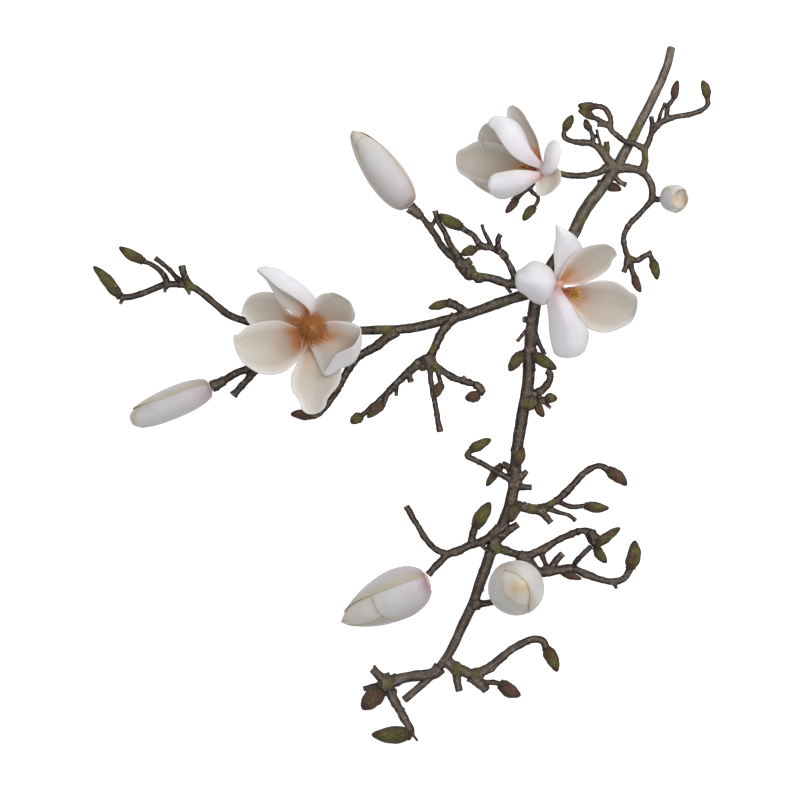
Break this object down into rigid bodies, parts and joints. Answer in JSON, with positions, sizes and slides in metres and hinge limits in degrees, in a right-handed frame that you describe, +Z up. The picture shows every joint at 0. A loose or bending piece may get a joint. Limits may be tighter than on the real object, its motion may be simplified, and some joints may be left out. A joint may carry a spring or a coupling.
{
  "type": "magnolia branch",
  "caption": "Cut magnolia branch lying on a surface: bare forked wood with winter buds, open white flowers and closed flower buds.",
  "frame": {"origin": "on the surface that the branch lies on, under the middle of its length and width", "axes": "+Y towards the cut end at the top of the stem, +Z up from the surface, +X to the right seen from above with the top away from the viewer"},
  "size_m": [0.6197, 0.7002, 0.1045],
  "materials": {
    "bark": "matte",
    "tepal": "satin",
    "stamen": "matte"
  },
  "bodies": {
    "root": {"main_stem": "bark", "upper_right_spray": "bark", "upper_left_spray": "bark", "flower_3_twig": "bark", "left_limb": "bark", "limb_fork": "bark", "middle_fork": "bark", "bud_1_fork": "bark", "lower_left_twig": "bark", "lower_right_spray": "bark", "right_foot_spray": "bark", "bud_3_twig": "bark", "left_foot_spray": "bark", "right_foot_twigs": "bark", "flower_1_tepals": "tepal", "flower_2_tepals": "tepal", "flower_3_tepals": "tepal", "bud_1_tepals": "tepal", "bud_2_tepals": "tepal", "bud_3_tepals": "tepal", "bud_4_tepals": "tepal", "bud_5_tepals": "tepal", "flower_1_stamens": "stamen", "flower_2_stamens": "stamen", "flower_3_stamens": "stamen"}
  },
  "joints": []
}
